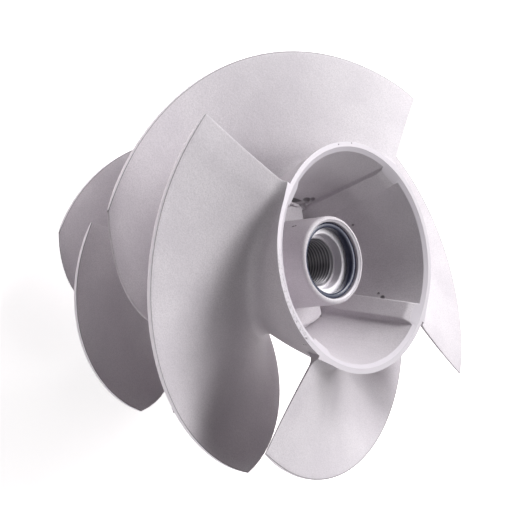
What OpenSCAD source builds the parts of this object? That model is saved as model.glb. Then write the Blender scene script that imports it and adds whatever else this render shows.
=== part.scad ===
// Axial pump impeller, cast in one piece: a hollow conical hub that carries a row of wide
// main blades and a smaller inducer row, with a threaded boss inside and a seal ring in it.
// It stands on its nose with the open rim up. A depth is measured down from the rim's plane.

/* [Hub] */
// Height from the nose face to the rim's plane
rotor_h = 142; // [140:1:156]
// Outer diameter of the open rim
rim_d = 84; // [80:0.5:88]
// Outer diameter of the nose
nose_d = 36; // [34:0.5:40]
// Inward slope of the hub's outside at the rim, in mm of radius for each mm of depth
rim_slope = 0.25; // [0.2:0.01:0.3]
// Inward slope where the outside turns from swelling to hollowing
turn_slope = 0.45; // [0.4:0.01:0.5]
// Depth of that turn
turn_depth = 31; // [28:1:34]
// Wall of the hollow hub at the rim, measured along a radius
hub_wall = 3; // [2.7:0.1:3.6]
// Inward slope of the cavity's wall
cavity_slope = 0.35; // [0.33:0.01:0.38]
// Chamfer round the nose face
nose_chamfer = 1.2; // [0.6:0.1:2]
// Width of the rim's machined flat face
rim_land = 1.8; // [1.2:0.1:2.2]
// Depth of the chamfer inside the rim
rim_chamfer = 1; // [0.7:0.1:1.4]
// Depth of the pockets of the hub's cavity
cavity_depth = 50; // [44:1:54]

/* [Inner pads and webs] */
// Width of a pad on the cavity's wall, behind each blade root, over its fillets
pad_w = 10.9; // [9:0.1:13]
// Width of a pad's inner face
pad_face_w = 7.3; // [6:0.1:8]
// How far a pad stands in from the wall
pad_t = 2.5; // [2:0.1:3]
// Fillet between a pad and the wall
pad_fillet = 1.3; // [0.8:0.1:1.6]
// How much further down the rim's chamfer runs across a pad
pad_ledge = 0.8; // [0.4:0.1:1.2]
// Length of a pad's sloped end below that
pad_bevel = 1.1; // [0.8:0.1:2.4]
// Angle of the first pad
pad_angle = 1.3; // [-4:0.1:4]
// Width of a web between the boss and the wall
web_w = 17; // [12:0.5:20]
// Depth of the webs' end faces
web_depth = 33; // [28:0.5:38]
// Fillet between a web's end face and the wall
web_fillet = 0.8; // [0.4:0.1:2]

/* [Boss] */
// Outer diameter of the boss at its rounded end
boss_d = 33; // [32:0.1:33.6]
// Depth of the boss's end
boss_depth = 12.6; // [9:0.1:18]
// Widening of the boss for each mm of depth, to draw it from the mould
boss_draft = 0.02; // [0:0.005:0.03]
// Rounding of the boss's outer edge
boss_round = 1.4; // [0.8:0.1:1.6]
// Diameter of the seal ring's seat
seat_d = 28.8; // [27.6:0.1:29]
// Depth of the seat below the boss's end
seat_depth = 5.4; // [4.8:0.1:7]
// Diameter of the pilot bore below the seat
pilot_d = 19.8; // [18:0.1:21]
// Length of the pilot bore
pilot_len = 3.6; // [2:0.1:6]
// Diameter of the thread's wall, at its crests
thread_d = 16.4; // [14:0.1:17.4]
// Length of the thread
thread_len = 32; // [24:1:36]
// Diameter of the relief bore between the thread and the drive socket
relief_d = 18; // [17.6:0.1:19]

/* [Drive socket in the nose] */
// Diameter of the plain mouth
mouth_d = 26; // [25.4:0.1:27]
// Length of the plain mouth
mouth_len = 8; // [5:0.5:12]
// Diameter at the bottom of the spline grooves
spline_major_d = 24.4; // [23.6:0.1:25]
// Diameter over the spline's teeth
spline_minor_d = 21.8; // [20.6:0.1:22.4]
// Number of spline teeth
spline_teeth = 22; // [16:1:26]
// Length of the splines
spline_len = 34; // [26:1:38]
// Length of the groove behind the splines
groove_len = 4; // [3:0.5:6]

/* [Main blades] */
// Number of main blades
main_count = 4; // [3:1:4]
// Diameter over the tips of the main blades
main_d = 160; // [150:1:166]
// Depth of a trailing edge at its tip
main_te_tip = 6.3; // [5:0.1:9]
// Depth of a trailing edge at the rim
main_te_root = 2; // [1.8:0.1:3]
// How the trailing edge bends between the two: 1 is straight, less holds back near the tip
main_te_ease = 0.5; // [0.3:0.05:1]
// Angle that the tip wraps round the axis
main_wrap_tip = 111.6; // [100:0.5:120]
// Angle that the blade would wrap at the nose's radius
main_wrap_root = 178.4; // [168:0.5:184]
// How the wrap grows inwards: 1 is evenly, more is faster near the tip
main_wrap_ease = 1.27; // [1:0.01:1.5]
// Advance in depth for a full turn, at the tip
main_pitch_tip = 124.7; // [115:0.5:132]
// Advance in depth for a full turn, at the nose's radius
main_pitch_root = 158; // [145:0.5:165]
// How the advance grows inwards: 1 is evenly, more is faster near the tip
main_pitch_ease = 2.2; // [1:0.1:2.5]
// Bulge of the blade's face between its edges
main_camber = 0.75; // [0:0.05:1.5]
// Thickness of the tip
main_tip_t = 1.7; // [1.4:0.1:2.4]
// Thickness at the root
main_root_t = 3.6; // [3:0.1:4.4]
// Fillet at the root
main_fillet = 4.6; // [2:0.1:5]

/* [Inducer blades] */
// Number of inducer blades
inducer_count = 4; // [3:1:4]
// Diameter over the tips of the inducer blades
inducer_d = 119.2; // [110:0.2:126]
// Angle of the first trailing edge, from that of the first main blade
inducer_start = 15.3; // [0:0.1:30]
// How far a trailing edge's root lies ahead of its tip
inducer_lead = 7.5; // [0:0.5:14]
// Depth of a trailing edge at its tip
inducer_te_tip = 87.6; // [84:0.1:90]
// Depth of a trailing edge at the nose
inducer_te_root = 92.8; // [90:0.1:96]
// Angle that the tip wraps round the axis
inducer_wrap_tip = 91.2; // [80:0.2:98]
// Angle that the root wraps round the nose
inducer_wrap_root = 148; // [130:1:150]
// How the wrap grows inwards: 1 is evenly, more is faster near the tip
inducer_wrap_ease = 1.5; // [1:0.05:1.8]
// Advance in depth for a full turn, at the tip
inducer_pitch_tip = 89.7; // [80:0.1:96]
// Advance in depth for a full turn, at the nose
inducer_pitch_root = 93; // [84:0.5:96]
// Bulge of the blade's face between its edges
inducer_camber = 1.8; // [0:0.1:2.4]
// Thickness of the tip
inducer_tip_t = 1.6; // [1.3:0.1:2.2]
// Thickness at the root
inducer_root_t = 3; // [2.4:0.1:3.6]
// Fillet at the root
inducer_fillet = 2.6; // [1.5:0.1:3.2]

/* [Seal ring] */
// Height of the ring's section
ring_h = 3.7; // [3:0.1:4.2]
// Thickness of the ring's section
ring_t = 2; // [1.6:0.1:2.4]
// Gap between the ring and the wall of its seat
ring_gap = 0.08; // [0.05:0.01:0.15]

/* [Hidden] */
$fn = 96;
cast_colour = [0.74, 0.72, 0.73];
rubber_colour = [0.07, 0.08, 0.12];
over = 1;
rim_r = rim_d/2;
nose_r = nose_d/2;
boss_r = boss_d/2;
mouth_r = rim_r - rim_land;
wall_r = rim_r - hub_wall;
seat_bottom = boss_depth + seat_depth;
pilot_bottom = seat_bottom + pilot_len;
thread_bottom = pilot_bottom + thread_len;
socket_len = mouth_len + spline_len + groove_len;
lead_in = 0.8;
ring_round = 0.4;
arc_steps = 5;
hub_steps = 20;
settle_steps = 8;

// Shares of a spline's step that its groove and each flank take
groove_share = 0.4;
flank_share = 0.15;

// Shares of a fillet's height at which the blade gets a row of points
fillet_rows = [0.1, 0.28, 0.6, 1];
// Share of the hub's wall that a blade root is sunk into
sunk_share = 0.4;
// Share of the chord over which each edge thins, and how thin it gets
te_run = 0.05;
te_thin = 0.35;
le_run = 0.05;
le_thin = 0.5;

// A law is a value at the tip, a value at the root and the way it changes between them.
// A blade family is a list of such laws and sizes, and these are their places in it
TIP_R = 0;
EDGE_ROOT_R = 1;
START = 2;
LEAD = 3;
EDGE = 4;
WRAP = 5;
PITCH = 6;
CAMBER = 7;
THICKNESS = 8;
FILLET = 9;
CHORD_STEPS = 10;
SPAN_STEPS = 11;
main_chord_steps = 26;
main_span_steps = 9;
inducer_chord_steps = 16;
inducer_span_steps = 7;
main_family = [main_d/2, rim_r, 0, 0,
    [main_te_tip, main_te_root, main_te_ease],
    [main_wrap_tip, main_wrap_root, main_wrap_ease],
    [main_pitch_tip, main_pitch_root, main_pitch_ease],
    main_camber, [main_tip_t, main_root_t, 1], main_fillet, main_chord_steps, main_span_steps];
inducer_family = [inducer_d/2, nose_r, inducer_start, inducer_lead,
    [inducer_te_tip, inducer_te_root, 1],
    [inducer_wrap_tip, inducer_wrap_root, inducer_wrap_ease],
    [inducer_pitch_tip, inducer_pitch_root, 1],
    inducer_camber, [inducer_tip_t, inducer_root_t, 1], inducer_fillet,
    inducer_chord_steps, inducer_span_steps];

function mix(a, b, u) = a + (b - a)*u;
function limit(u) = min(1, max(0, u));
// Value of a law for a share u of the way in from the tip
function law(q, u) = mix(q[0], q[1], q[2]*u + (1 - q[2])*u*u);

// Share of the way from the tip to the nose's radius, and to the trailing edge's root
function inward(f, r) = (f[TIP_R] - r)/(f[TIP_R] - nose_r);
function edge_inward(f, r) = (f[TIP_R] - r)/(f[TIP_R] - f[EDGE_ROOT_R]);

// Angle and depth of the middle of a blade at radius r, for a share t of the chord
function wrap(f, r) = law(f[WRAP], inward(f, r));
function pitch(f, r) = law(f[PITCH], inward(f, r));
function mid_angle(f, r, t) = f[START] - f[LEAD]*inward(f, r) + wrap(f, r)*t;
function mid_depth(f, r, t) = law(f[EDGE], edge_inward(f, r))
    + pitch(f, r)*wrap(f, r)*t/360 + 4*f[CAMBER]*t*(1 - t);

// Radius of the hub's outside at a depth: it swells out below the rim, turns, and hollows
// in until it runs smoothly into the nose, each stretch a parabola
turn_r = rim_r - (rim_slope + turn_slope)/2*turn_depth;
nose_start = turn_depth + 2*(turn_r - nose_r)/turn_slope;
function hub_r(d) =
    d < turn_depth ? rim_r - rim_slope*d - (turn_slope - rim_slope)*d*d/(2*turn_depth) :
    d < nose_start ?
        nose_r + (turn_r - nose_r)*pow((nose_start - d)/(nose_start - turn_depth), 2) :
    nose_r;

// How far a fillet of radius e stands out at height h, straight below its lowest row
function flare_arc(e, h) = h >= e ? 0 : e - sqrt(e*e - (e - h)*(e - h));
function flare(e, h) =
    let (low = fillet_rows[0]*e, next = fillet_rows[1]*e,
         rise = (flare_arc(e, low) - flare_arc(e, next))/(next - low))
    h < low ? flare_arc(e, low) + rise*(low - h) : flare_arc(e, h);

// Thickness across the blade, thinner towards the tip and at both edges
function edge_share(t) =
    mix(te_thin, 1, limit(t/te_run))*mix(le_thin, 1, limit((1 - t)/le_run));
function thickness(f, r, t) = law(f[THICKNESS], inward(f, r))*edge_share(t);

// Angle between the blade's section and a plane across the axis
function lean(f, r) = atan2(pitch(f, r)/(2*PI), r);

// Turn by which the fillet swells past the leading edge at height h. The trailing edge is cut
// straight through blade and fillet
function swell(f, r, h, t) =
    flare(f[FILLET], h)*max(0, 2*t - 1)*cos(lean(f, r))/r*180/PI;

// Angle and depth of one side of a blade: side is 1 towards the rim, -1 towards the nose
function side_angle(f, r, h, t) = mid_angle(f, r, t) + swell(f, r, h, t);
function side_depth(f, r, h, t, side) =
    mid_depth(f, r, t) + pitch(f, r)*swell(f, r, h, t)/360
    - side*(thickness(f, r, t)/2 + flare(f[FILLET], h))/cos(lean(f, r));

// Radius of the row at height h over the hub, found by stepping towards it
function row_r(f, h, t, side, n = settle_steps, r = nose_r) =
    n == 0 ? r : row_r(f, h, t, side, n - 1, hub_r(side_depth(f, r, h, t, side)) + h);

function blade_point(f, q, t, side) =
    let (a = side_angle(f, q[0], q[1], t))
    [q[0]*cos(a), q[0]*sin(a), rotor_h - side_depth(f, q[0], q[1], t, side)];

// Rows of one side for one share t of the chord, as pairs of radius and height over the hub
function rows(f, t, side) =
    let (foot = row_r(f, f[FILLET], t, side), n = f[SPAN_STEPS])
    concat([for (h = concat(-sunk_share*hub_wall, fillet_rows*f[FILLET]))
                [row_r(f, h, t, side), h]],
           [for (i = [1:n]) [mix(foot, f[TIP_R], i/n), f[FILLET]]]);

// Shares of the chord: fine at both edges, even between them
function chord_shares(f) =
    let (n = f[CHORD_STEPS])
    concat([0, te_run], [for (i = [1:n - 1]) mix(te_run, 1 - le_run, i/n)],
           [1 - le_run, 1]);

module blade(f) {
    shares = chord_shares(f);
    n = len(shares);
    m = 1 + len(fillet_rows) + f[SPAN_STEPS];
    points = [for (side = [1, -1]) for (t = shares) for (q = rows(f, t, side))
        blade_point(f, q, t, side)];
    upper = [for (i = [0:n - 2]) for (j = [0:m - 2])
        let (p = i*m + j) each [[p, p + m + 1, p + 1], [p, p + m, p + m + 1]]];
    lower = [for (i = [0:n - 2]) for (j = [0:m - 2])
        let (p = n*m + i*m + j) each [[p, p + 1, p + m + 1], [p, p + m + 1, p + m]]];
    ring = concat([for (j = [0:m - 1]) j], [for (i = [1:n - 1]) i*m + m - 1],
        [for (j = [m - 2:-1:0]) (n - 1)*m + j], [for (i = [n - 2:-1:1]) i*m]);
    k = len(ring);
    sides = [for (i = [0:k - 1])
        let (a = ring[i], b = ring[(i + 1)%k])
        each [[a, b, b + n*m], [a, b + n*m, a + n*m]]];
    polyhedron(points, concat(upper, lower, sides), convexity = 6);
}

// A row of equal blades, cut flush with the rim's plane
module blade_row(f, count) {
    difference() {
        for (i = [0:count - 1]) rotate(-360/count*i) blade(f);
        translate([0, 0, rotor_h]) cylinder(r = f[TIP_R] + over, h = rotor_h/4);
    }
}

// Turns a list of [radius, depth] pairs into a solid of revolution
module revolve(outline) {
    rotate_extrude() polygon([for (p = outline) [p[0], rotor_h - p[1]]]);
}

// Outside of the hub with the nose
module hub_body() {
    curve = [for (i = [0:hub_steps]) let (d = nose_start*i/hub_steps) [hub_r(d), d]];
    revolve(concat([[0, 0]], curve,
        [[nose_r, rotor_h - nose_chamfer], [nose_r - nose_chamfer, rotor_h], [0, rotor_h]]));
}

// Inner radius of the hub's wall at a depth
function inner_r(d) = wall_r - cavity_slope*d;

// Space inside the cone, before the pads, the webs and the boss are left standing in it
module cavity_cone() {
    revolve([[0, -over], [mouth_r + over, -over], [mouth_r, 0],
        [inner_r(rim_chamfer), rim_chamfer], [inner_r(cavity_depth), cavity_depth],
        [0, cavity_depth]]);
}

// Section of a pad, x inwards from the wall: a fillet, a slanted side and a narrower face
function pad_side() =
    concat([for (i = [0:arc_steps]) let (a = 90*i/arc_steps)
               [pad_fillet*(1 - cos(a)), pad_w/2 - pad_fillet*sin(a)]],
           [[pad_t, pad_face_w/2]]);

// Pads on the wall behind the blade roots, with the rim's chamfer and a sloped end
module pads() {
    chamfer_slope = (mouth_r - inner_r(rim_chamfer))/rim_chamfer;
    ledge = rim_chamfer + pad_ledge;
    ledge_r = mouth_r - chamfer_slope*ledge;
    end = ledge + pad_bevel;
    half = pad_side();
    section = concat([[-hub_wall, pad_w/2]], half,
        [for (i = [len(half) - 1:-1:0]) [half[i][0], -half[i][1]]], [[-hub_wall, -pad_w/2]]);
    for (i = [0:main_count - 1]) rotate(pad_angle - 360/main_count*i)
        difference() {
            translate([wall_r, 0, rotor_h]) rotate([0, 180 + atan(cavity_slope), 0])
                translate([0, 0, -over]) linear_extrude(cavity_depth*2) polygon(section);
            revolve([[0, -2*over], [rim_r, -2*over], [rim_r, 0], [mouth_r, 0],
                [ledge_r, ledge], [inner_r(end) - pad_t, end],
                [0, end]]);
        }
}

// Webs that tie the boss to the wall, halfway between the pads
module webs() {
    top = web_depth - web_fillet;
    corner = inner_r(web_depth);
    fillet = [for (i = [0:arc_steps])
        let (a = 90*i/arc_steps)
        [corner - web_fillet*(1 - sin(a)), web_depth - web_fillet*(1 - cos(a))]];
    for (i = [0:main_count - 1]) rotate(360/main_count*(i + 0.5))
        intersection() {
            translate([0, -web_w/2, 0]) cube([rim_r, web_w, rotor_h - top]);
            revolve(concat([[0, web_depth]], fillet,
                [[inner_r(top), top], [rim_r, top], [rim_r, cavity_depth + over],
                 [0, cavity_depth + over]]));
        }
}

// Outside of the boss, with its rounded end
module boss_body() {
    turn = [for (i = [0:arc_steps])
        let (a = 90*(1 - i/arc_steps))
        [boss_r - boss_round*(1 - cos(a)), boss_depth + boss_round*(1 - sin(a))]];
    revolve(concat([[0, boss_depth]], turn,
        [[boss_r + boss_draft*(cavity_depth - boss_depth), cavity_depth + over],
         [0, cavity_depth + over]]));
}

module cavity() {
    difference() {
        cavity_cone();
        pads();
        webs();
        boss_body();
    }
}

// Stepped bore of the boss: the seal's seat, the pilot, the thread's wall and the relief
module boss_bore() {
    seat_r = seat_d/2;
    revolve([[0, boss_depth - over], [seat_r + lead_in + over, boss_depth - over],
        [seat_r, boss_depth + lead_in], [seat_r, seat_bottom], [pilot_d/2, seat_bottom],
        [pilot_d/2, pilot_bottom], [thread_d/2 + lead_in, pilot_bottom],
        [thread_d/2, pilot_bottom + lead_in], [thread_d/2, thread_bottom],
        [relief_d/2, thread_bottom], [relief_d/2, rotor_h - socket_len + over],
        [0, rotor_h - socket_len + over]]);
}

// Splined socket for the drive shaft, cut from the nose face
module drive_socket() {
    mouth = mouth_d/2;
    translate([0, 0, -over]) cylinder(d = mouth_d, h = mouth_len + over);
    translate([0, 0, -over])
        cylinder(r1 = mouth + lead_in + over, r2 = mouth, h = lead_in + over);
    translate([0, 0, mouth_len - over]) linear_extrude(spline_len + 2*over)
        polygon(spline_outline());
    translate([0, 0, mouth_len + spline_len]) cylinder(d = mouth_d, h = groove_len);
}

// Outline of the splined hole: each tooth points inwards between two grooves
function spline_outline() =
    let (step = 360/spline_teeth, crest = groove_share + flank_share)
    [for (i = [0:spline_teeth - 1])
        for (q = [[0, spline_major_d], [groove_share, spline_major_d],
                  [crest, spline_minor_d], [1 - flank_share, spline_minor_d]])
        let (a = step*(i + q[0])) q[1]/2*[cos(a), sin(a)]];

// The casting: hub, boss, pads, webs and both rows of blades are one solid
module impeller() {
    color(cast_colour) difference() {
        union() {
            difference() {
                hub_body();
                cavity();
            }
            blade_row(main_family, main_count);
            blade_row(inducer_family, inducer_count);
        }
        boss_bore();
        drive_socket();
    }
}

// Rubber ring of rounded section that lies on the bottom of its seat
module o_ring() {
    outer = seat_d/2 - ring_gap;
    round_r = ring_t*ring_round;
    corners = [[outer - round_r, round_r, -90], [outer - round_r, ring_h - round_r, 0],
        [outer - ring_t + round_r, ring_h - round_r, 90],
        [outer - ring_t + round_r, round_r, 180]];
    color(rubber_colour) translate([0, 0, rotor_h - seat_bottom]) rotate_extrude()
        polygon([for (c = corners) for (i = [0:arc_steps])
            let (a = c[2] + 90*i/arc_steps)
            [c[0] + round_r*cos(a), c[1] + round_r*sin(a)]]);
}

impeller();
o_ring();
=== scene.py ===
# %% [markdown]
# A pump impeller: one investment casting with two rows of blades round a hollow hub, and a
# rubber ring in its boss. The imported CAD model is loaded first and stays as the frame: it
# gives the place and the box. The pieces that show are then made as the workshop makes the
# real one. A wax pattern gives the hub and the blades, a core leaves the hollow, and cutters
# face the rim and bore the boss.

# %% Load the frame
import math

import bpy
import numpy as np
from mathutils import Matrix, Vector


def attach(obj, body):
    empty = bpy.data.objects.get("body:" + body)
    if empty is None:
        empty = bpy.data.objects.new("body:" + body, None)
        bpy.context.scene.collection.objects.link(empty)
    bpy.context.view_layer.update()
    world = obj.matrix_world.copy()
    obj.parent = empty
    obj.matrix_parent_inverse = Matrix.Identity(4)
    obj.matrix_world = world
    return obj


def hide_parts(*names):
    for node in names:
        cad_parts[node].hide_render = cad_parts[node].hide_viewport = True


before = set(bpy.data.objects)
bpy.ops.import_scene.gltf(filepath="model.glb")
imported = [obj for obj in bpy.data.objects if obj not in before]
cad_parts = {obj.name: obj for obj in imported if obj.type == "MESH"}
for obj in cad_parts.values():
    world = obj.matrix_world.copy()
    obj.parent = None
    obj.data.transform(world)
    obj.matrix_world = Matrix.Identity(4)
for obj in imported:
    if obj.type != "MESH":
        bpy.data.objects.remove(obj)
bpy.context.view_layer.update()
print("nodes:", sorted(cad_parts))

# %% [markdown]
# The camera comes first, because every comparison depends on it. It could be moved by eye
# until the outlines agree, but that leaves small errors everywhere. Its place and turn were
# solved from the circles of the rim and the corners of the blades instead, so it is set as a
# matrix: the columns are its right, its up and its backward direction, in the model's frame.

# %% Camera
camera_data = bpy.data.cameras.new("camera")
camera_data.lens = 67.35
camera_data.sensor_width = 36
camera = bpy.data.objects.new("camera", camera_data)
bpy.context.scene.collection.objects.link(camera)
bpy.context.scene.camera = camera
right = (-0.620185, -0.378273, 0.687226)
up = (0.586927, -0.804998, 0.086572)
back = (0.520468, 0.457042, 0.721266)
turn = Matrix((right, up, back)).transposed()
camera.matrix_world = Matrix.Translation((0.20467, 0.17517, 0.37040)) @ turn.to_4x4()
print("camera at", [round(v, 4) for v in camera.location])

# %% [markdown]
# A casting has a few sizes that all its surfaces share. They are the CAD source's sizes, in
# millimetres. A depth is measured down from the rim's plane, which is how the part would be
# measured on a bench with its rim up.

# %% Shared sizes
MM = 0.001
rotor_h = 142.0
rim_r = 42.0
nose_r = 18.0
mouth_r = 40.2
wall_r = 39.0
rim_chamfer = 1.0
cavity_slope = 0.35
cavity_depth = 50.0
boss_r = 16.5
boss_depth = 12.6
boss_draft = 0.02
rim_slope = 0.25
turn_slope = 0.45
turn_depth = 31.0
turn_r = rim_r - (rim_slope + turn_slope) / 2 * turn_depth
nose_start = turn_depth + 2 * (turn_r - nose_r) / turn_slope


def mix(a, b, share):
    """The value a given share of the way from a to b."""
    return a + (b - a) * share


def ease(a, b, x):
    """0 below a, 1 above b, and a smooth S between them."""
    share = np.clip((x - a) / (b - a), 0, 1)
    return share * share * (3 - 2 * share)


def hub_r(depth):
    """Radius of the hub's outside: a parabola that swells below the rim, then one that
    hollows in and runs smoothly into the straight nose."""
    swell = rim_r - rim_slope * depth - (turn_slope - rim_slope) * depth**2 / (2 * turn_depth)
    hollow = nose_r + (turn_r - nose_r) * ((nose_start - depth) / (nose_start - turn_depth)) ** 2
    return np.where(depth < turn_depth, swell, np.where(depth < nose_start, hollow, nose_r))


def inner_r(depth):
    """Radius of the hollow's wall: a straight cone."""
    return wall_r - cavity_slope * depth


print("hub radius at rim, turn and nose:", hub_r(np.array([0, turn_depth, nose_start])))

# %% [markdown]
# Cones and tubes from Blender's menu can't bend or swell as these surfaces do. Every surface
# here is a grid of points worked out as one array: rows run along it and columns run round
# it. One helper turns such a grid into a closed mesh. It joins the last column to the first,
# closes each end with a fan or with strips, and turns all faces outwards by the sign of the
# volume that they enclose.

# %% Faces of a grid and of its ends
def grid_faces(rows, columns):
    """Squares between the neighbours of a grid whose last column meets its first."""
    i, j = np.meshgrid(np.arange(rows - 1), np.arange(columns), indexing="ij")
    k = (j + 1) % columns
    square = [i * columns + j, i * columns + k, (i + 1) * columns + k, (i + 1) * columns + j]
    return np.stack(square, axis=-1).reshape(-1, 4)


def fan_end(points, row):
    """Triangles that close an end row to its middle point, and that point."""
    columns = points.shape[1]
    j = np.arange(columns)
    middle = points.shape[0] * columns + (0 if row == 0 else 1)
    a, b = row * columns + j, row * columns + (j + 1) % columns
    ring = (b, a) if row == 0 else (a, b)
    fan = np.stack([np.full(columns, middle), *ring])
    return fan.T, points[row].mean(axis=0)


def strip_end(points, row):
    """Squares that close an end row, from its first half across to its second."""
    columns = points.shape[1]
    j = np.arange(columns // 2 - 1)
    first = row * columns
    strip = np.stack([j, columns - 1 - j, columns - 2 - j, j + 1]) + first
    return (strip if row == 0 else strip[::-1]).T


# %% Closed meshes
def volume(points, faces):
    """Volume inside a closed mesh: the sum of its corner tetrahedra, with a sign."""
    total = 0.0
    for face in faces:
        a = points[face[:, 0]]
        for k in range(1, face.shape[1] - 1):
            total += np.einsum("ij,ij", a, np.cross(points[face[:, k]], points[face[:, k + 1]]))
    return total / 6


def add_piece(name, points, faces):
    """An object at the origin, from points in millimetres and lists of corners."""
    mesh = bpy.data.meshes.new(name)
    mesh.from_pydata((points * MM).tolist(), [], faces)
    mesh.validate()
    piece = bpy.data.objects.new(name, mesh)
    bpy.context.scene.collection.objects.link(piece)
    print(f"{name}: {len(mesh.vertices)} points, {len(mesh.polygons)} faces")
    return piece


def solid(name, grids, ends="fan"):
    """An object from grids in millimetres, each made a closed shell that faces outwards."""
    all_points, all_faces, start = [], [], 0
    for grid in grids:
        rows, columns = grid.shape[:2]
        points = grid.reshape(-1, 3)
        faces = [grid_faces(rows, columns)]
        if ends == "fan":
            for row in (0, rows - 1):
                fan, middle = fan_end(grid, row)
                faces.append(fan)
                points = np.vstack([points, middle])
        else:
            faces += [strip_end(grid, 0), strip_end(grid, rows - 1)]
        if volume(points, faces) < 0:
            faces = [face[:, ::-1] for face in faces]
        all_points.append(points)
        all_faces += [face + start for face in faces]
        start += len(points)
    corners = [corner for face in all_faces for corner in face.tolist()]
    return add_piece(name, np.vstack(all_points), corners)


# %% Grids that go round the axis
def at(angle, r, depth):
    """Points at an angle round the axis, a radius and a depth."""
    return np.stack([r * np.cos(angle), r * np.sin(angle), rotor_h - depth + 0 * angle], axis=-1)


def full_turn(columns):
    """Angles of the columns of a grid that goes once round."""
    return np.arange(columns) * 2 * np.pi / columns


def turned(outline, columns):
    """Grid of a turned shape: each pair of radius and depth goes round the axis."""
    outline = np.array(outline, dtype=float)
    return at(full_turn(columns), outline[:, :1], outline[:, 1:])


def arc(centre, radius, first, last, steps=6):
    """Pairs on an arc of an outline, from one angle to another, in degrees. Angle 0 points
    outwards and angle 90 points down."""
    a = np.radians(np.linspace(first, last, steps))
    return list(zip(centre[0] + radius * np.cos(a), centre[1] + radius * np.sin(a)))


# %% [markdown]
# The outside of the hub is a turned shape. A Screw modifier on a drawn outline would make it
# too. Here the outline is the function above, sampled every 2 mm or so, which keeps it exact.
# It starts 1 mm above the rim, as cast stock that the facing cut takes off later.

# %% Hub
stock = 1.0
nose_chamfer = 1.2
nose_ring = 20.0
end_ring = 4.0
hub_columns = 216
depths = np.concatenate([[-stock], np.linspace(0, nose_start, 46), [rotor_h - nose_ring]])
hub_outline = [(rim_r - end_ring, -stock)]
hub_outline += [(hub_r(max(d, 0.0)), d) for d in depths]
hub_outline += [(nose_r, rotor_h - nose_chamfer), (nose_r - nose_chamfer, rotor_h),
                (nose_r - end_ring, rotor_h)]
casting = solid("casting", [turned(hub_outline, hub_columns)])

# %% [markdown]
# The hollow is the shape of the core that the foundry puts in the mould. It has four pads
# behind the blade roots, four webs and the boss standing in it, and a fillet in every
# corner. Modelling each fillet by hand would be long work, so the core is described by
# distances instead. Each body gives the distance to its own surface, and one formula joins
# two bodies with a fillet. A grid that is close to the surface is then drawn onto it.
#
# No two pads or webs are quite alike, since the wax was dressed by hand. A pad has its own
# thickness, slope of the bevel at its rim end, and slant of its sides. A web has its own
# reach from the axis and may be a little narrower than the rest.

# %% Sizes inside the hollow
pads = ((1.8, 0.6, 0.4), (1.8, 0.35, 0.12), (2.3, 0.7, 0.4), (1.5, 0.6, 0.4))
pad_half, pad_edge, pad_fillet = 4.69, 0.3, 0.5
bevel_start, bevel_lift = 2.0, 1.1
pad_angle = math.radians(1.3)
webs = ((25.2, 0), (24.6, 0), (25.0, 0), (23.3, 1.0))
web_half, web_share, web_depth = 12.9, 0.64, 34.6
web_edge, web_end_edge, web_bow, web_fillet = 2.2, 1.3, 0.012, 0.45
floor_fillet, boss_fillet, boss_edge = 2.2, 1.6, 1.4
wall_level = math.cos(math.atan(cavity_slope))
quarter = np.pi / 2
print(len(pads), "pads and", len(webs), "webs round a boss of radius", boss_r)


# %% Joining, trimming and the ripple of a cast skin
def join(a, b, fillet):
    """Distance to the nearer of two bodies, with a round fillet in the corner between them:
    within the fillet's radius of both, it is the distance to a circle that touches both."""
    corner = np.hypot(np.maximum(fillet - a, 0), np.maximum(fillet - b, 0))
    return np.maximum(fillet, np.minimum(a, b)) - corner


def trim(a, b, rounding):
    """Distance to what two bodies share, with a rounded edge where their surfaces meet."""
    edge = np.hypot(np.maximum(rounding + a, 0), np.maximum(rounding + b, 0))
    return np.minimum(-rounding, np.maximum(a, b)) + edge


def cast_ripple(x, y, z):
    """Slow unevenness of a cast surface, as a sum of a few waves, up to about 0.1 mm."""
    return 0.045 * (np.sin(x * 0.83 + 1.3 * np.sin(y * 0.41)) * np.sin(y * 0.71 + z * 0.52)
                    + np.sin(x * 0.37 - y * 0.59 + 1.0) * np.sin(z * 0.93 + x * 0.21))


def web_width(r):
    """Half the width of a web: less close to the boss, where its neighbours are near."""
    return np.minimum(web_half, web_share * r)


# %% The hollow as one distance
def turned_to(x, y, angle):
    """How far points lie along a direction at an angle round the axis, and across it."""
    return x * np.cos(angle) + y * np.sin(angle), y * np.cos(angle) - x * np.sin(angle)


def boss_side(depth):
    """Radius of the boss's outside, which widens with the depth by its draft."""
    return boss_r + boss_draft * (depth - boss_depth)


def hollow_distance(p):
    """Distance from points in the hollow to the casting round them: the wall, joined in turn
    with the pads, the floor, the boss and the webs, plus the ripple away from the rim."""
    x, y, depth = p[..., 0], p[..., 1], rotor_h - p[..., 2]
    r = np.hypot(x, y)
    found = (inner_r(depth) - r) * wall_level
    for k, (thick, slope, slant) in enumerate(pads):
        along, across = turned_to(x, y, pad_angle - k * quarter)
        height = (inner_r(depth) - along) * wall_level
        side = (np.abs(across) - pad_half + slant * height) / math.hypot(1, slant)
        bevel = (height - bevel_lift - slope * (depth - bevel_start)) / math.hypot(1, slope)
        pad = trim(trim(side, height - thick, pad_edge), bevel, pad_edge)
        found = np.where(along > 0, join(found, pad, pad_fillet), found)
    found = join(found, cavity_depth - depth, floor_fillet)
    boss = trim(r - boss_side(depth), boss_depth - depth, boss_edge)
    found = join(found, boss, boss_fillet)
    for k, (reach, narrow) in enumerate(webs):
        along, across = turned_to(x, y, (k + 0.5) * quarter)
        web = trim(np.abs(across) - web_width(r) + narrow, web_depth - depth, web_edge)
        web = trim(web, along - reach + web_bow * across**2, web_end_edge)
        found = np.where(along > 0, join(found, web, web_fillet), found)
    return found + cast_ripple(x, y, p[..., 2]) * ease(2, 12, depth)


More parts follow.
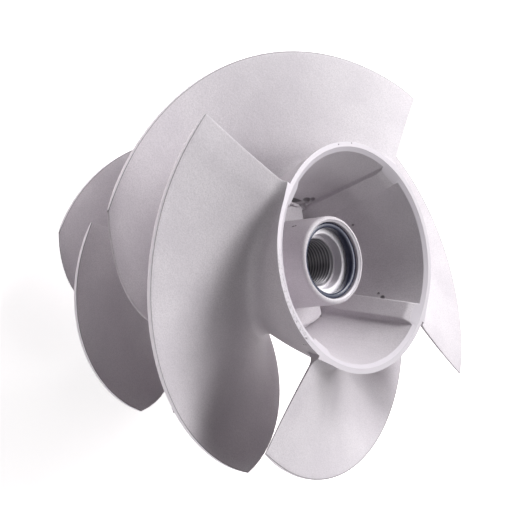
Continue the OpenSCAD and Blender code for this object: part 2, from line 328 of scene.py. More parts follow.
# %% Drawing a grid onto the surface
def settle(p, rounds=14, step=0.02, least=0.2):
    """Moves points along the slope of the distance until they lie on the surface. The slope
    is the change of the distance over a small step along each axis, and a square of it that
    is too small to trust counts as least."""
    for _ in range(rounds):
        here = hollow_distance(p)
        ahead = [hollow_distance(p + step * axis) for axis in np.eye(3)]
        slope = (np.stack(ahead, axis=-1) - here[..., None]) / step
        steepness = np.maximum((slope**2).sum(axis=-1), least)
        p = p - (here / steepness)[..., None] * slope
    print("largest distance left:", round(float(np.abs(hollow_distance(p)).max()), 4), "mm")
    return p


# %% [markdown]
# The grid to start from is a turned shape whose columns know the webs. A column on a web
# stops at the web's top, columns down the web's side stop at growing depths, and the rest
# reach the pocket's floor. Columns near a pad keep their distance from its middle and start on
# a plain section of it, so that the pad's edges run along the grid and not across it. One
# quarter of the columns is worked out from half a quarter, and then laid round four times.

# %% Columns of the core
web_top = np.array([0, 1.4, 2.8, 4.2, 5.5, 6.8, 8, 9.1, 10, 10.7, 11.3, 11.8, 12.2, 12.5, 12.75])
web_side = np.array([35.2, 35.7, 36.3, 37.0, 38.0, 39.5, 41.5, 43.5, 45.5, 47.4, 48.7, 49.5])
between = np.array([0.0, 0.03, 0.07, 0.14, 0.3, 0.53, 0.77])
web_rounding = 3.2
pad_room = 0.93
start_slant, start_thick = 0.417, 2.0
pad_side = np.array([6.8, 6.2, 5.8, 5.5, 5.25, 5.05, 4.9, 4.75, 4.6, 4.42, 4.24, 4.06, 3.9, 3.78,
                     3.7, 3.6, 3.45, 3.2, 2.6, 1.8, 0.9])
pad_zone = np.concatenate([-pad_side, [0], pad_side[::-1]])
pad_lift = np.clip((pad_half - np.abs(pad_zone)) / start_slant, 0, start_thick)
tops, sides, gaps, zone = len(web_top), len(web_side), len(between), len(pad_zone)


def columns_of(top, side, gap, pad, mirror=1):
    """One value for each column of a quarter: those on the web's top, down its side, in the
    gap and on the pad, and then back to the web. The way back may have its sign turned."""
    half = np.concatenate([np.zeros(n) + v for n, v in ((tops, top), (sides, side), (gaps, gap))])
    return np.concatenate([half, np.zeros(zone) + pad, mirror * half[:0:-1]])


column_depth = columns_of(web_depth, web_side, cavity_depth, cavity_depth)
web_y = columns_of(web_top, web_half, web_half, web_half)
share = columns_of(0, 0, between, 1)
pad_y = columns_of(-pad_side[0], -pad_side[0], -pad_side[0], pad_zone, mirror=-1)
on_pad = columns_of(0, 0, 0, 1)
lift = columns_of(0, 0, 0, pad_lift)
sign = np.where(np.arange(len(share)) < len(share) / 2, -1.0, 1.0)
print("columns in a quarter of the core:", len(share))


# %% Grid of the core
def column_angle(r):
    """Angle of each column of a quarter. A web column keeps its distance from the web's
    middle, a pad column its distance from the pad's, and the others share the rest. Nearer
    the boss than the pockets' outer wall, all but the web's columns are squeezed together."""
    eighth = quarter / 2
    outer = np.maximum(r, inner_r(cavity_depth))
    on_web = sign * (eighth - np.arcsin(web_y / web_half * web_width(r) / r))
    edge = eighth - np.arcsin(web_half / outer)
    room = pad_room * (edge - pad_angle) / np.arcsin(pad_side[0] / outer)
    pad = pad_angle + np.arcsin(pad_y / outer) * np.minimum(1, room)
    free = np.where(on_pad > 0, pad, mix(sign * edge, pad, share))
    squeezed = free * (eighth - np.arcsin(web_width(r) / r)) / edge
    return np.where(share > 0, squeezed, on_web)


def core_grid():
    """Grid of the core: down the wall, across the floor, up the boss and over its end. On a
    web the wall goes a little deeper and the first rows of the floor climb back, so that the
    web's rounded end gets rows of its own."""
    wall = np.concatenate([[0, 0.04], np.arange(0.055, 0.13, 0.012), np.linspace(0.15, 0.88, 20),
                           [0.92, 0.95, 0.97, 0.982, 0.993]])[:, None]
    floor = np.concatenate([np.linspace(0, 0.56, 19), [0.64, 0.72, 0.8, 0.88, 0.94]])[:, None]
    rise = np.array([[0, 0.02, 0.05, 0.1, 0.2, 0.35, 0.5, 0.65, 0.8, 0.9, 0.95, 0.975, 0.99]]).T
    end = np.array([[0, 0.01, 0.03, 0.06, 0.1, 0.2]]).T
    on_top = ease(0.4, 0.0, (column_depth - web_depth) / web_rounding)
    wall_foot = column_depth + web_rounding * on_top
    wall_depth = mix(-2 * stock, wall_foot, wall)
    on_wall = np.hypot(inner_r(wall_depth) - lift / wall_level, pad_y * on_pad)
    rise_depth = mix(column_depth, boss_depth, rise)
    level = np.ones_like(column_depth)
    r = np.vstack([np.where(on_pad > 0, on_wall, inner_r(wall_depth)),
                   mix(inner_r(wall_foot), boss_side(column_depth), floor),
                   boss_side(rise_depth),
                   boss_r * (1 - end) * level])
    depth = np.vstack([wall_depth,
                       column_depth + web_rounding * on_top * (1 - ease(0.02, 0.22, floor)),
                       rise_depth,
                       boss_depth * np.ones_like(end) * level])
    angle = column_angle(np.maximum(r, boss_r))
    angle = np.concatenate([angle + k * quarter for k in range(4)], axis=1)
    return at(angle, np.tile(r, 4), np.tile(depth, 4))


core = solid("core", [settle(core_grid())])

# %% [markdown]
# A blade is a thin wall that winds round the hub like the thread of a screw. A sheet with a
# Solidify modifier would be quick, but its edges would be square and its root would have no
# fillet. Here the blade's middle surface is a function of two parameters: the radius and the
# share of the way from the trailing edge to the leading edge. The two sides lie half a
# thickness above and below it. Near the hub both sides swing out along a quarter circle,
# which is the root's fillet.
#
# Most values of a row change between tip and root. Such a value is written as the value at
# the tip, the value at the root, and a bend: 1 is a straight change.

# %% Laws of the two blade rows
main_row = dict(tip=80.0, root=rim_r, start=0.0, lead=0.0, edge=(6.3, 2.0, 0.5),
                wrap=(111.6, 178.4, 1.27), pitch=(124.7, 158.0, 2.2), camber=0.75,
                thick=(1.7, 3.6, 1.0), fillet=4.6, chord=66, span=24, foot=34.0)
inducer_row = dict(tip=59.6, root=nose_r, start=15.3, lead=7.5, edge=(87.6, 92.8, 1.0),
                   wrap=(91.2, 148.0, 1.5), pitch=(89.7, 93.0, 1.0), camber=1.8,
                   thick=(1.6, 3.0, 1.0), fillet=2.6, chord=42, span=15, foot=21.0)
sunk, seam = 1.3, 0.08
edge_round = 0.22
edge_share, trailing_thin, leading_thin = 0.05, 0.35, 0.5
leading_nose, leading_blunt = 0.55, 0.12


def law(value, u):
    """A value that changes from tip to root along a parabola of the given bend."""
    at_tip, at_root, bend = value
    return mix(at_tip, at_root, bend * u + (1 - bend) * u**2)


def way_in(row, r):
    """Share of the way from the row's tip in to the nose."""
    return (row["tip"] - r) / (row["tip"] - nose_r)


def chord_length(row, r):
    """Length along the middle surface from one edge to the other, at one radius: the long
    side of a triangle whose short sides are the arc and the advance."""
    u = way_in(row, r)
    turn_angle, pitch = np.radians(law(row["wrap"], u)), law(row["pitch"], u)
    return np.hypot(r * turn_angle, pitch * turn_angle / (2 * np.pi))


for row in (main_row, inducer_row):
    print("chord at tip radius", row["tip"], "is", round(float(chord_length(row, row["tip"])), 1))


# %% Sides of a blade
def half_thickness(row, r, t, length):
    """Half the thickness: less at the tip than at the root, thinner towards both edges, with
    a small round at the trailing edge and a blunt round nose at the leading edge."""
    half = law(row["thick"], way_in(row, r)) / 2
    half = half * mix(trailing_thin, 1, np.clip(t / edge_share, 0, 1))
    half = half * mix(leading_thin, 1, np.clip((1 - t) / edge_share, 0, 1))
    near = np.clip(t * length, 0, edge_round)
    half = half - (edge_round - np.sqrt(edge_round**2 - (edge_round - near) ** 2))
    nose = np.clip((1 - t) * length / leading_nose, 0, 1)
    return half * np.maximum(np.sqrt(1 - (1 - nose) ** 2), leading_blunt)


def blade_side(row, r, t, length, out, side):
    """Angle and depth on one side of a blade. The middle surface advances evenly with the
    angle, bulges a little between its edges, and the side stands off it by the half
    thickness and by out, the fillet's reach, which also carries it past the leading edge."""
    u = way_in(row, r)
    turn_angle, pitch = law(row["wrap"], u), law(row["pitch"], u)
    lean = np.arctan2(pitch / (2 * np.pi), r)
    past = out * np.maximum(0, 2 * t - 1) * np.cos(lean) / r
    angle = np.radians(row["start"] - row["lead"] * u + turn_angle * t) + past
    depth = law(row["edge"], (row["tip"] - r) / (row["tip"] - row["root"]))
    depth = depth + pitch * (turn_angle * t / 360 + past / (2 * np.pi))
    depth = depth + 4 * row["camber"] * t * (1 - t)
    half = half_thickness(row, r, t, length) + out
    return angle, depth - side * half / np.cos(lean)


# %% Grid of a blade
def root_rows(row):
    """Height above the hub and reach beyond the blade's side, for the rows of the fillet: a
    quarter circle, its lowest slope carried on to a little below the hub's surface, and a
    last row straight inwards from there, sunk in the wall."""
    bend = np.radians([8, 15, 24, 35, 48, 62, 76, 90])
    high, out = row["fillet"] * (1 - np.cos(bend)), row["fillet"] * (1 - np.sin(bend))
    tangent = out[0] + (high[0] + seam) / np.tan(bend[0])
    return np.concatenate([[-sunk, -seam], high]), np.concatenate([[tangent, tangent], out])


def chord_shares(row, length):
    """Shares of the chord for the columns: close together near the edges, even between."""
    trailing = np.array([0, 0.05, 0.12, edge_round, 0.9, 2.2, 4.2, 6.5]) / length
    leading = 1 - np.array([4.5, 2.6, 1.3, leading_nose, 0.3, 0.12, 0.03, 0]) / length
    even = np.linspace(0, 1, row["chord"] + 1)[1:-1]
    return np.concatenate([trailing, mix(trailing[:, -1:], leading[:, :1], even), leading], axis=1)


def blade_grid(row, number):
    """Grid of one blade. A row of the grid runs round the section: from the trailing edge
    along the rim's side, and back along the other. The rows climb from inside the hub's
    wall up the fillet and out to the tip, whose edges get a small round."""
    high, out = root_rows(row)
    roots = len(high)
    tip = np.radians([[30], [60], [90]])
    tip_r = row["tip"] - edge_round * (1 - np.sin(tip))
    span = np.linspace(0, 1, row["span"] + 1)[1:, None]
    guide = np.vstack([np.full((roots, 1), row["foot"]), mix(row["foot"], row["tip"], span),
                       np.full((3, 1), row["tip"])])
    length = chord_length(row, guide)
    t = chord_shares(row, length)
    reach = np.vstack([out[:, None], 0 * span, -edge_round * (1 - np.cos(tip))])
    sides = []
    for side in (1, -1):
        r = np.full((roots, t.shape[1]), row["foot"])
        for _ in range(14):
            depth = blade_side(row, r, t[:roots], length[:roots], reach[:roots], side)[1]
            r = hub_r(depth) + high[:, None]
        r = np.vstack([r, mix(r[-1:], row["tip"] - edge_round, span), tip_r + 0 * t[:3]])
        angle, depth = blade_side(row, r, t, length, reach, side)
        sides.append(at(angle - number * quarter, r, depth))
    return np.concatenate([sides[0], sides[1][:, ::-1]], axis=1)


blades = solid("blades", [blade_grid(row, k) for row in (main_row, inducer_row)
                          for k in range(4)], ends="strip")

# %% [markdown]
# The machine shop takes over once the casting is cold. One tool faces the rim and cuts the
# chamfer inside it, which also runs over the ends of the pads. One bores the boss in steps
# and cuts its thread. One leaves the splined socket in the nose. The cuts could be modelled
# into the casting's own grid, but then every fillet that they cross would have to be trimmed
# by hand. So each tool is made as the solid that it removes.

# %% Facing cut
overrun, end_r = 1.0, 10.0
stock_r, stock_high = 84.0, 12.0
chamfer_slope = (mouth_r - inner_r(rim_chamfer)) / rim_chamfer
ledge = bevel_start + 0.3
facing = [(stock_r, -stock_high), (stock_r, 0), (mouth_r, 0),
          (mouth_r - chamfer_slope * ledge, ledge), (end_r, ledge)]
facing_tool = solid("facing_tool", [turned(facing, hub_columns)])

# %% Bore and thread
seat_r, seat_bottom, seat_round = 14.4, 18.0, 0.3
pilot_r, pilot_bottom, pilot_edge = 10.3, 21.6, 0.25
thread_r, thread_bottom, thread_pitch, thread_deep = 8.2, 53.6, 1.5, 0.8
thread_crest, thread_flank = 0.14, 0.66
relief_r, lead_in = 9.0, 0.8
socket_len = 46.0


def thread_r_at(angle, depth):
    """Radius of the thread: a groove whose sides are straight, repeated with the depth plus
    the share of a turn, both in pitches."""
    wave = (depth / thread_pitch + angle / (2 * np.pi)) % 1
    groove = np.clip((np.abs(2 * wave - 1) - thread_crest) / thread_flank, 0, 1)
    return thread_r + thread_deep * groove


def bore_grid(columns=96, per_pitch=7):
    """Grid of the bore: a turned outline of seat, pilot and relief, whose rows between the
    pilot and the relief grow outwards to the thread."""
    outline = [(end_r, boss_depth - overrun), (seat_r + lead_in + overrun, boss_depth - overrun),
               (seat_r, boss_depth + lead_in), (seat_r, seat_bottom - seat_round)]
    outline += arc((seat_r - seat_round, seat_bottom - seat_round), seat_round, 20, 90, 4)
    outline += [(pilot_r + pilot_edge, seat_bottom), (pilot_r, seat_bottom + pilot_edge),
                (pilot_r, pilot_bottom), (thread_r + lead_in, pilot_bottom)]
    steps = int((thread_bottom - pilot_bottom) / thread_pitch * per_pitch)
    depths = pilot_bottom + np.arange(1, steps) * thread_pitch / per_pitch
    outline += [(max(thread_r, thread_r + lead_in - d + pilot_bottom), d) for d in depths]
    outline += [(thread_r, thread_bottom), (relief_r, thread_bottom),
                (relief_r, rotor_h - socket_len + overrun)]
    r, depth = np.array(outline)[:, :1], np.array(outline)[:, 1:]
    threaded = (depth > pilot_bottom) & (depth < thread_bottom)
    angle = full_turn(columns)
    return at(angle, np.where(threaded, np.maximum(r, thread_r_at(angle, depth)), r), depth)


bore_tool = solid("bore_tool", [bore_grid()])

# %% Drive socket
socket_r, socket_lead = 13.0, 0.8
spline_start, spline_end = 8.0, 42.0
spline_groove_r, spline_tooth_r = 12.2, 10.9


def socket_grid(teeth=22, around=10):
    """Grid of the drive socket: a plain mouth, a toothed length and a plain groove. The
    toothed rows follow the spline's outline, whose flanks are short S-curves."""
    columns = teeth * around
    wave = np.arange(columns) / around % 1
    tooth = ease(0.4, 0.55, wave) - ease(0.85, 1.0, wave)
    splines = mix(spline_groove_r, spline_tooth_r, tooth)
    rows = [(socket_r + socket_lead + overrun, -overrun), (socket_r, socket_lead),
            (socket_r, spline_start), (splines, spline_start), (splines, spline_end),
            (socket_r, spline_end), (socket_r, socket_len)]
    radii = np.array([r + np.zeros(columns) for r, _ in rows])
    return at(full_turn(columns), radii, np.array([[rotor_h - height] for _, height in rows]))


socket_tool = solid("socket_tool", [socket_grid()])

# %% [markdown]
# A casting keeps small marks of its making. Two thin beads of flash lie where the mould's
# joint leaked beside one web, and a few pits are left by gas and by knocks. A bump texture
# could draw them, but then they would be missing from the outline and from the mesh. Here a
# bead is a row of circles along a bent line, and a pit is a small ball that is cut out; the
# finish later paints shade inside each pit. A knock is such a ball that takes a corner off
# and gets no painted shade. All are placed by an angle round the axis in degrees, a radius
# and a depth, and a pit or a knock has a size.

# %% Beads and pits
beads = [((-55, 24.3, 34.2), (-57.3, 24.1, 34.1), (-60.6, 23.7, 34.1), (-64.7, 23.6, 34.1),
          (-69, 23.8, 34.6)),
         ((-78, 25.3, 38), (-77.8, 26, 36), (-77.5, 26.5, 34.8), (-77.6, 26.9, 33.8),
          (-78, 27.3, 32.4))]
bead_r, bead_taper, bead_uneven = 0.6, 0.9, 0.2
pits = [(68.2, 41.3, 0, 0.22), (72.5, 41.6, 0, 0.22), (78, 41.4, 0, 0.3),
        (-43, 41.2, 0, 0.25), (-53, 41.5, 0, 0.25), (-114, 30.3, 25, 0.5),
        (-167, 32.8, 17.6, 0.5), (-169.6, 33.4, 15.7, 0.9), (83, 40.9, 4.1, 0.4),
        (82.5, 41.4, 2.5, 0.3), (-17.3, 16.7, 23.2, 0.5), (-18.2, 16.7, 22.1, 0.45),
        (-73.5, 27.4, 33.4, 1.3), (-76.5, 28, 31.6, 0.9)]
knocks = [(105.3, 59.9, 87.5, 1.8)]
print(len(beads), "beads,", len(pits), "pits,", len(knocks), "knock")


# %% Grids of a bead and of a pit
def unit(vectors):
    """Vectors of length 1 in the same directions."""
    return vectors / np.linalg.norm(vectors, axis=1)[:, None]


def bead_grid(line, rows=25, columns=12):
    """Grid of a bead: circles square to a line, uneven in size and smaller at both ends."""
    degrees, r, depth = np.array(line, dtype=float).T
    marks = at(np.radians(degrees), r, depth)
    number = np.arange(len(marks))
    share = np.linspace(0, 1, rows)
    middle = np.stack([np.interp(share * number[-1], number, part) for part in marks.T], axis=-1)
    along = unit(np.gradient(middle, axis=0))
    side = unit(np.cross(along, (0.3, 0.1, 1)))
    size = bead_r * np.sqrt(1 - bead_taper * (2 * share - 1) ** 2)
    size = size * (1 + bead_uneven * np.sin(19 * share))
    a = full_turn(columns)[:, None]
    circle = side[:, None] * np.cos(a) + np.cross(along, side)[:, None] * np.sin(a)
    return middle[:, None] + size[:, None, None] * circle


def pit_grid(degrees, r, depth, size, rows=9, columns=16):
    """Grid of a pit: circles of a ball, from near its top to near its bottom."""
    down = np.radians(np.linspace(12, 168, rows))[:, None]
    a = full_turn(columns)
    ball = [np.sin(down) * np.cos(a), np.sin(down) * np.sin(a), np.cos(down) + 0 * a]
    return at(math.radians(degrees), r, depth) + size * np.stack(ball, axis=-1)


flash = solid("flash", [bead_grid(line) for line in beads])
pit_tool = solid("pit_tool", [pit_grid(*pit) for pit in pits + knocks])

# %% [markdown]
# Blender's Boolean modifier joins and cuts the shells. Remeshing them into one skin would
# be the other way, but it would round every machined edge. The modifier's Manifold solver
# takes closed shells only, which is what the helper above makes, and it is quick enough for
# fine meshes. The result is shaded smooth, apart from the edges that a cutter leaves.

# %% Cast, cut and smooth
def work(piece, tool, operation):
    """Joins a tool's solid to the piece or cuts it away, and keeps the result as its mesh."""
    modifier = piece.modifiers.new("work", "BOOLEAN")
    modifier.object = tool
    modifier.operation = operation
    modifier.solver = "MANIFOLD"
    graph = bpy.context.evaluated_depsgraph_get()
    mesh = bpy.data.meshes.new_from_object(piece.evaluated_get(graph))
    piece.modifiers.clear()
    used = [piece.data, tool.data]
    piece.data = mesh
    bpy.data.objects.remove(tool)
    for data in used:
        bpy.data.meshes.remove(data)
    print(operation.lower(), "leaves", len(mesh.polygons), "faces")


work(casting, core, "DIFFERENCE")
work(casting, blades, "UNION")
work(casting, flash, "UNION")
for tool in (facing_tool, bore_tool, socket_tool, pit_tool):
    work(casting, tool, "DIFFERENCE")
casting.data.name = "casting"
casting.data.shade_smooth()
casting.data.set_sharp_from_angle(angle=math.radians(30))
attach(casting, "root")
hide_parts("impeller")

# %% [markdown]
# It lies on the bottom of its seat and nearly fills it. One closed outline of four rounded
# corners is carried round the axis.

# %% Seal ring
ring_gap, ring_t, ring_h, ring_round = 0.08, 2.0, 3.7, 0.8


def ring_grid(columns=160):
    """Grid of the ring: a closed outline of four rounded corners, carried round the axis."""
    near, far = seat_r - ring_gap - ring_t + ring_round, seat_r - ring_gap - ring_round
    high, low = seat_bottom - ring_h + ring_round, seat_bottom - ring_round
    corners = [(far, high, -90), (far, low, 0), (near, low, 90), (near, high, 180)]
    outline = [p for r, d, a in corners for p in arc((r, d), ring_round, a, a + 90, 7)]
    return turned(outline, columns)


def closed_ring(name, grid):
    """An object from a grid that closes both ways, with its faces turned outwards."""
    rows, columns = grid.shape[:2]
    faces = grid_faces(rows + 1, columns) % (rows * columns)
    points = grid.reshape(-1, 3)
    if volume(points, [faces]) < 0:
        faces = faces[:, ::-1]
    return add_piece(name, points, faces.tolist())


seal = closed_ring("seal_ring", ring_grid())
seal.data.shade_smooth()
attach(seal, "root")
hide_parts("o_ring")

# %% [markdown]
# Finishes are built from nodes. A node graph is hard to read as code, so one small class
# lets a socket stand in a sum: every operator adds a Math node. Any other node comes from
# one call that takes its type, its settings and what goes into its sockets.

# %% Shader sums
class Socket:
    """A socket's value in an expression."""

    def __init__(self, finish, source):
        self.finish, self.source = finish, source

    def _math(self, operation, *values):
        values = dict(enumerate(values))
        return self.finish.node("ShaderNodeMath", dict(operation=operation), values)

    def __add__(self, other):
        return self._math("ADD", self, other)

    def __sub__(self, other):
        return self._math("SUBTRACT", self, other)

    def __mul__(self, other):
        return self._math("MULTIPLY", self, other)

    def __rsub__(self, other):
        return self._math("SUBTRACT", other, self)

    def __pow__(self, other):
        return self._math("POWER", self, other)

    def __abs__(self):
        return self._math("ABSOLUTE", self)

    __radd__, __rmul__ = __add__, __mul__

    def above(self, low, high):
        """0 below low, 1 above high, with a smooth step between."""
        settings = dict(interpolation_type="SMOOTHSTEP")
        values = {"Value": self, "From Min": low, "From Max": high}
        return self.finish.node("ShaderNodeMapRange", settings, values)


# %% A finish built from nodes
class Finish:
    """A material, or the world, that is built up from nodes."""

    def __init__(self, name, world=False):
        self.data = (bpy.data.worlds if world else bpy.data.materials).new(name)
        self.data.use_nodes = True
        self.tree = self.data.node_tree
        self.tree.nodes.clear()
        self.last = "ShaderNodeOutputWorld" if world else "ShaderNodeOutputMaterial"

    def node(self, kind, settings=None, values=None, output=0):
        """Adds a node: its settings first, then the values or links of its sockets."""
        node = self.tree.nodes.new(kind)
        for key, value in (settings or {}).items():
            setattr(node, key, value)
        for key, value in (values or {}).items():
            if isinstance(value, Socket):
                self.tree.links.new(value.source, node.inputs[key])
            else:
                node.inputs[key].default_value = value
        return Socket(self, node.outputs[output]) if len(node.outputs) else None

    def blend(self, share, a, b):
        """Colour a given share of the way from a to b."""
        return self.node("ShaderNodeMix", dict(data_type="RGBA"), {0: share, 6: a, 7: b}, 2)

    def noise(self, point, scale, detail=2.0, roughness=0.5):
        """Noise whose grains are about one over scale millimetres wide."""
        values = {"Vector": point, "Scale": scale, "Detail": detail, "Roughness": roughness}
        return self.node("ShaderNodeTexNoise", {}, values)

    def bump(self, height):
        """Normal of a surface that is raised by a height in millimetres."""
        return self.node("ShaderNodeBump", {}, {"Strength": 1.0, "Distance": MM, "Height": height})

    def output(self, shader):
        """Ends the graph with a shader, and returns the material or the world."""
        self.node(self.last, {}, {"Surface": shader})
        print(f"{self.data.name}: {len(self.tree.nodes)} nodes")
        return self.data


def millimetres(finish):
    """Object coordinates in millimetres, and their three parts."""
    point = finish.node("ShaderNodeTexCoord", output="Object")
    values = {0: point, "Scale": 1 / MM}
    point = finish.node("ShaderNodeVectorMath", dict(operation="SCALE"), values)
    split = finish.node("ShaderNodeSeparateXYZ", {}, {0: point})
    return point, [Socket(finish, part) for part in split.source.node.outputs]


# %% [markdown]
# The casting is bead-blasted steel: matte and fine-grained, with a lilac tinge. Where a tool
# has cut it, it is smoother, and fine turning lines run round it. The tips are ground bright.
# The thread, its grooves, the bottoms of the pockets, the slot by the shortest web, the pits
# and, a little, the whole hollow get painted shade: a darker colour where shade falls. Each
# zone could be a material of its own on its own faces, but then the joints between them would
# be hard steps. Masks from the radius and the depth find the zones instead, since each cutter
# works at a known place.

# %% Masks of the cast and the cut zones
tip_band, tip_line, tip_soft = 0.18, 0.5, 0.08
pocket_near_r, pocket_far_r = 15.6, 22.6
pocket_top, pocket_floor = 46.5, 50.7
slot_reach, slot_top, slot_end = 23.4, 34.9, 41.0


def tip_masks(r, tip_r):
    """The ground band along the tip of a blade, and the dark line just inside it."""
    ground = r.above(tip_r - tip_band, tip_r - tip_band + tip_soft)
    return ground, r.above(tip_r - tip_line, tip_r - tip_line + tip_soft) * (1 - ground)


def bore_masks(r, depth):
    """The whole bore, and its lead-in, shoulder, pilot, thread and the thread's grooves."""
    mouth = seat_r + lead_in
    bore = 1 - r.above(mouth + 0.1, mouth + 0.3)
    bore = bore * depth.above(boss_depth + 0.1, boss_depth + 0.2)
    in_pilot = 1 - r.above(pilot_r + 0.1, pilot_r + 0.3)
    pilot = bore * in_pilot * depth.above(seat_bottom, seat_bottom + 0.2)
    thread = bore * (1 - r.above(thread_r + 1.0, thread_r + 1.3))
    thread = thread * depth.above(pilot_bottom - 0.05, pilot_bottom + 0.05)
    groove = thread * r.above(thread_r + 0.05, thread_r + 0.5)
    lead = bore * (1 - depth.above(boss_depth + lead_in, boss_depth + lead_in + 0.1))
    shoulder = bore * depth.above(seat_bottom - 0.1, seat_bottom) * (1 - in_pilot)
    return bore, lead + shoulder, pilot, thread, groove


def painted_corner_shade(x, y, r, depth, hollow):
    """Painted shade: a darker colour in the bottom of the pockets, and in the slot between the
    shortest web's end and the wall."""
    pocket = (1 - r.above(pocket_far_r - 0.2, pocket_far_r + 0.2))
    pocket = pocket * r.above(pocket_near_r - 0.2, pocket_near_r + 0.2)
    pocket = pocket * depth.above(pocket_top, pocket_top + 2.5)
    pocket = pocket * (1 - depth.above(pocket_floor, pocket_floor + 0.7))
    along_web = (x - y) * 0.5**0.5
    slot = hollow * along_web.above(slot_reach, slot_reach + 0.5)
    slot = slot * depth.above(slot_top, slot_top + 0.5) * (1 - depth.above(slot_end, slot_end + 3))
    return pocket + slot


def pit_mask(finish, point):
    """1 in the pits and 0 elsewhere, from the distance to the middle of each."""
    clear = 1.0
    for degrees, r, depth, size in pits:
        values = {0: point, 1: at(math.radians(degrees), r, depth)}
        away = finish.node("ShaderNodeVectorMath", dict(operation="DISTANCE"), values, 1)
        clear = away.above(0.8 * size, 1.3 * size) * clear
    return 1 - clear


# %% [markdown]
# The colours are laid over each other like coats of paint: the first is the whole casting,
# and each later one covers its own mask, fully or in part. The grain comes from noise at two
# sizes, about half a millimetre and one millimetre, which also roughens and raises the cast
# skin. The turning lines are a sine of the radius and the depth, about five to a millimetre.

# %% Cast and cut steel
turning_lines = 31.0
inducer_top = 55.0


def cast_steel():
    """Matte cast skin with its cut and ground zones, and painted shade in the hollow, the
    pockets, the thread and the pits. Heights are in millimetres.
    """
    finish = Finish("cast_steel")
    point, (x, y, z) = millimetres(finish)
    r = (x * x + y * y) ** 0.5
    depth = rotor_h - z
    hollow = (inner_r(depth) - r).above(-0.3, -0.1)
    face = z.above(rotor_h - 0.07, rotor_h - 0.02)
    cone = 1 - abs(r + depth * chamfer_slope - mouth_r).above(0.05, 0.12)
    cone = cone * (1 - depth.above(ledge - 0.02, ledge + 0.04))
    bore, edges, pilot, thread, groove = bore_masks(r, depth)
    main_tip, main_line = tip_masks(r, main_row["tip"])
    inducer_tip, inducer_line = tip_masks(r, inducer_row["tip"])
    beyond = r.above(inducer_row["tip"] + 0.1, inducer_row["tip"] + 0.2)
    inducer = 1 - z.above(inducer_top, inducer_top + 1)
    inducer_tip = inducer_tip * inducer * (1 - beyond)
    cut = 1 - (1 - (face + cone + bore + main_tip + inducer_tip)).above(0, 1)
    worn = face * x.above(3, 9) * y.above(20, 26)
    pocks = worn * (1 - finish.noise(point, 1.6).above(0.38, 0.44))

    cloud = finish.noise(point, 0.05, 3).above(0.3, 0.7)
    grain = finish.noise(point, 2.2, 3, 0.6)
    speck = finish.noise(point, 0.9)
    colour = finish.blend(cloud, (0.63, 0.59, 0.63, 1), (0.70, 0.66, 0.695, 1))
    coats = [(grain.above(0.35, 0.68) * 0.5, (0.47, 0.44, 0.47, 1)),
             # painted shade: the whole hollow a little darker
             (hollow * 0.15, (0.45, 0.42, 0.44, 1)),
             (cone, (0.57, 0.535, 0.58, 1)),
             (face, (0.50, 0.47, 0.505, 1)),
             (main_tip + inducer_tip, (0.88, 0.84, 0.89, 1)),
             ((main_line + inducer_line * inducer) * 0.7, (0.2, 0.19, 0.2, 1)),
             (edges, (0.74, 0.71, 0.75, 1)),
             (pilot, (0.72, 0.69, 0.73, 1)),
             # painted shade: the bore's thread is coloured darker, and its grooves darker still
             (thread, (0.30, 0.285, 0.31, 1)),
             (groove, (0.11, 0.105, 0.115, 1)),
             # painted shade in the pockets' bottoms and in the slot by the shortest web
             (painted_corner_shade(x, y, r, depth, hollow) * 0.85, (0.10, 0.095, 0.10, 1)),
             # painted shade inside the pits
             (pit_mask(finish, point) * 0.8, (0.12, 0.11, 0.115, 1)),
             (pocks * 0.35, (0.2, 0.19, 0.2, 1))]
    for share, coat in coats:
        colour = finish.blend(share, colour, coat)

    lines = finish.node("ShaderNodeMath", dict(operation="SINE"), {0: (r + depth) * turning_lines})
    height = (grain * 0.035 + speck * 0.05) * (1 - cut) + lines * cut * 0.003 - pocks * 0.08
    matte = {"Value": grain, "To Min": 0.48, "To Max": 0.6}
    rough = finish.node("ShaderNodeMapRange", {}, matte) - (cut - cone) * 0.14 - thread * 0.08
    return finish.output(finish.node("ShaderNodeBsdfPrincipled", {}, {
        "Base Color": colour, "Metallic": (cut - cone) * 0.2, "Roughness": rough,
        "Specular IOR Level": 0.25, "Normal": finish.bump(height)}))


casting.data.materials.clear()
casting.data.materials.append(cast_steel())

# %% [markdown]
# The ring is nearly black rubber with a blue tinge and a low gloss. One colour would look
# like a painted toy, so a fine noise changes its colour, its gloss and its height a little.

# %% Rubber of the seal
def seal_rubber():
    """Dark blue rubber with a low gloss."""
    finish = Finish("seal_rubber")
    grain = finish.noise(millimetres(finish)[0], 3.0)
    colour = finish.blend(grain, (0.014, 0.017, 0.042, 1), (0.03, 0.036, 0.075, 1))
    return finish.output(finish.node("ShaderNodeBsdfPrincipled", {}, {
        "Base Color": colour, "Roughness": grain * 0.16 + 0.12,
        "Normal": finish.bump(grain * 0.02)}))


seal.data.materials.append(seal_rubber())

# %% [markdown]
# The ground is a plain white studio floor. White paint alone would turn grey wherever the
# lamps are weak, so the pale matte sheet adds a little light of its own. Only camera, glossy
# and transmission rays see that light, so it reads as white, is mirrored as white, and still
# keeps the soft shadow under the blades. The sky is white for the same rays and dim for the
# others, which leaves the shading of the part to the lamps.

# %% Floor and sky
floor_half = 3000.0
white = (1, 1, 1, 1)


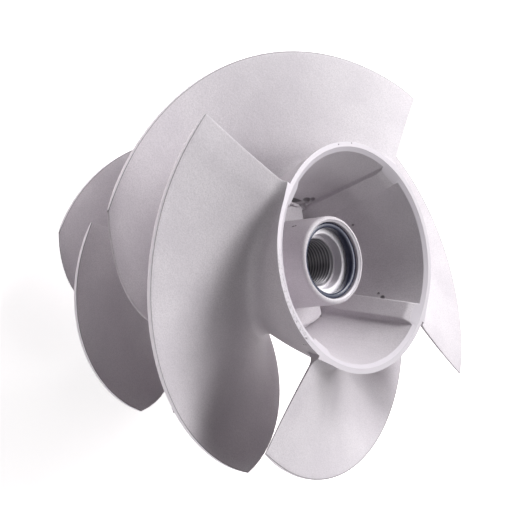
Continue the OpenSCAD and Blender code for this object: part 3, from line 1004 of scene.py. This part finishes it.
def seen_rays(finish):
    """1 for the rays that show a thing or mirror it, 0 for the ones that only light."""
    outputs = finish.node("ShaderNodeLightPath").source.node.outputs
    kinds = ("Camera", "Glossy", "Transmission")
    camera_ray, glossy_ray, through_ray = [Socket(finish, outputs[f"Is {k} Ray"]) for k in kinds]
    return camera_ray + glossy_ray + through_ray


def floor_sheet():
    """Pale matte paint with a glow for the seen rays."""
    finish = Finish("floor")
    sheet = finish.node("ShaderNodeBsdfDiffuse", {}, {"Color": (0.9, 0.85, 0.86, 1)})
    values = {"Color": white, "Strength": 0.75 * seen_rays(finish)}
    glow = finish.node("ShaderNodeEmission", {}, values)
    return finish.output(finish.node("ShaderNodeAddShader", {}, {0: sheet, 1: glow}))


def studio_sky():
    """A dim sky that the seen rays find white."""
    finish = Finish("studio_sky", world=True)
    dim, bright = [finish.node("ShaderNodeBackground", {}, {"Color": white, "Strength": level})
                   for level in (0.03, 1.0)]
    values = {0: seen_rays(finish), 1: dim, 2: bright}
    return finish.output(finish.node("ShaderNodeMixShader", {}, values))


corners = floor_half * np.array([(-1, -1, 0), (1, -1, 0), (1, 1, 0), (-1, 1, 0)])
floor = add_piece("floor", corners, [(0, 1, 2, 3)])
floor.data.materials.append(floor_sheet())
bpy.context.scene.world = studio_sky()

# %% [markdown]
# Five square lamps light the part. One sun would give hard shadows and black undersides.
# Their places and powers were fitted to the tones of the blades in the photograph: two carry
# most of the light, one lights the crown, one fills from low down, and one reaches the back.

# %% Lamps
lamp_size = 0.5
aim = Vector((0, 0, 0.08))
lamps = dict(side=((0.065, -0.740, 0.749), 7.6), top=((-0.265, -0.459, 0.928), 5.0),
             crown=((-0.290, -0.106, 1.031), 2.3), low=((0.637, -0.759, 0.219), 2.4),
             behind=((-0.034, 0.977, 0.288), 1.8))


def lamp(name, where, power):
    """A square lamp that faces the middle of the part."""
    data = bpy.data.lights.new(name, "AREA")
    data.size, data.energy = lamp_size, power
    light = bpy.data.objects.new(name, data)
    light.location = where
    light.rotation_euler = (light.location - aim).to_track_quat("Z", "Y").to_euler()
    bpy.context.scene.collection.objects.link(light)


for name, (where, power) in lamps.items():
    lamp(name, where, power)
bpy.context.scene.view_settings.view_transform = "Standard"
print("lamps:", ", ".join(lamps))
